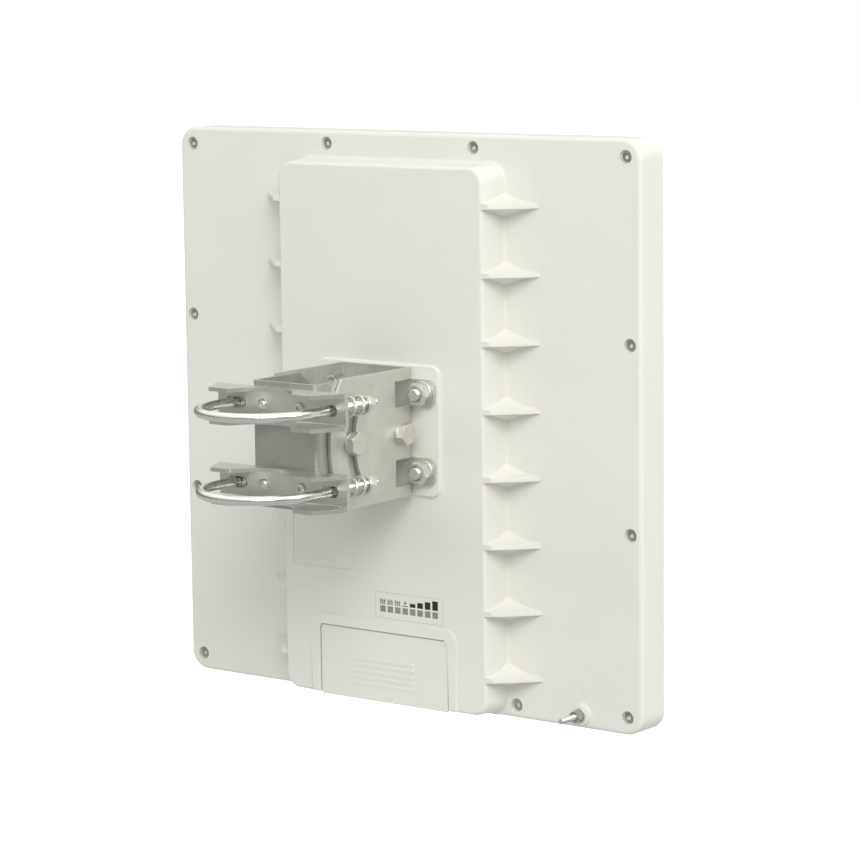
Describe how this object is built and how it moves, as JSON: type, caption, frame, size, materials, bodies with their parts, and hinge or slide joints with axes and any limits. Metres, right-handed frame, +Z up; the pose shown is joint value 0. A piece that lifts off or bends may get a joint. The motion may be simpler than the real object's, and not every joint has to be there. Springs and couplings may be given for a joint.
{
  "type": "outdoor wireless bridge",
  "caption": "Square flat-panel outdoor wireless bridge with a ribbed rear hump, on a two-channel tilting bracket with spring-loaded U-bolt pole clamps.",
  "frame": {"origin": "on the pole's axis, halfway between the two clamps", "axes": "+Z up along the pole, +Y out of the antenna's face, away from the pole; +X to the right when the back is viewed"},
  "size_m": [0.371, 0.2092, 0.371],
  "materials": {
    "painted_body": "matte",
    "radome_plastic": "matte",
    "door_plastic": "matte",
    "seal_rubber": "matte",
    "thermal_foam": "matte",
    "galvanised_sheet": "satin",
    "satin_sheet": "satin",
    "polished_rod": "polished",
    "spring_wire": "gloss",
    "zinc_fastener": "satin",
    "sheet_aluminium": "satin",
    "shield_tin": "satin",
    "circuit_board": "satin",
    "copper_foil": "satin",
    "white_nylon": "satin",
    "label_film": "satin",
    "light_pipe": "gloss",
    "led_resin": "gloss"
  },
  "bodies": {
    "mast_side": {"mast_bracket": "galvanised_sheet", "upper_saddle": "satin_sheet", "lower_saddle": "satin_sheet", "saddle_screws": "zinc_fastener", "saddle_nuts": "zinc_fastener", "pivot_bolt": "zinc_fastener", "pivot_washers": "zinc_fastener", "pivot_nut": "zinc_fastener", "lock_bolt": "zinc_fastener", "lock_washers": "zinc_fastener", "lock_nut": "zinc_fastener", "leg_washers": "zinc_fastener", "upper_springs": "spring_wire", "lower_springs": "spring_wire"},
    "antenna": {"rear_housing": "painted_body", "hump_cover": "painted_body", "cable_bay": "painted_body", "flank_gussets": "painted_body", "radome": "radome_plastic", "housing_gasket": "seal_rubber", "housing_screws": "zinc_fastener", "reflector_plate": "sheet_aluminium", "array_board": "circuit_board", "array_patches": "copper_foil", "array_spacers": "white_nylon", "array_screws": "zinc_fastener", "feed_pins": "copper_foil", "radio_board": "circuit_board", "board_screws": "zinc_fastener", "rf_shield": "shield_tin", "heat_spreader": "sheet_aluminium", "thermal_pad": "thermal_foam", "ethernet_jack": "shield_tin", "cable_grommet": "seal_rubber", "status_leds": "led_resin", "light_pipes": "light_pipe", "led_label": "label_film", "ground_stud": "zinc_fastener", "ground_washer": "zinc_fastener", "ground_nut": "zinc_fastener", "mounting_studs": "zinc_fastener", "stud_washers": "zinc_fastener", "stud_nuts": "zinc_fastener", "antenna_bracket": "galvanised_sheet"},
    "door": {"cable_door": "door_plastic"},
    "upper_clamp": {"upper_u_bolt": "polished_rod", "upper_leg_nuts": "zinc_fastener"},
    "lower_clamp": {"lower_u_bolt": "polished_rod", "lower_leg_nuts": "zinc_fastener"}
  },
  "joints": [
    {"name": "tilt", "type": "hinge", "parent": "mast_side", "child": "antenna", "pos_m": [0, 0.1123, 0], "axis": [1, 0, 0], "range_deg": [-25, 25]},
    {"name": "upper_clamp_slide", "type": "slide", "parent": "mast_side", "child": "upper_clamp", "axis": [0, 1, 0], "range_m": [-0.015, 0], "stiffness_N_per_m": 1500, "deforming": ["upper_springs"]},
    {"name": "lower_clamp_slide", "type": "slide", "parent": "mast_side", "child": "lower_clamp", "axis": [0, 1, 0], "range_m": [-0.015, 0], "stiffness_N_per_m": 1500, "deforming": ["lower_springs"]},
    {"name": "door_slide", "type": "slide", "parent": "antenna", "child": "door", "axis": [0, 0, -1], "range_m": [0, 0.045]}
  ]
}
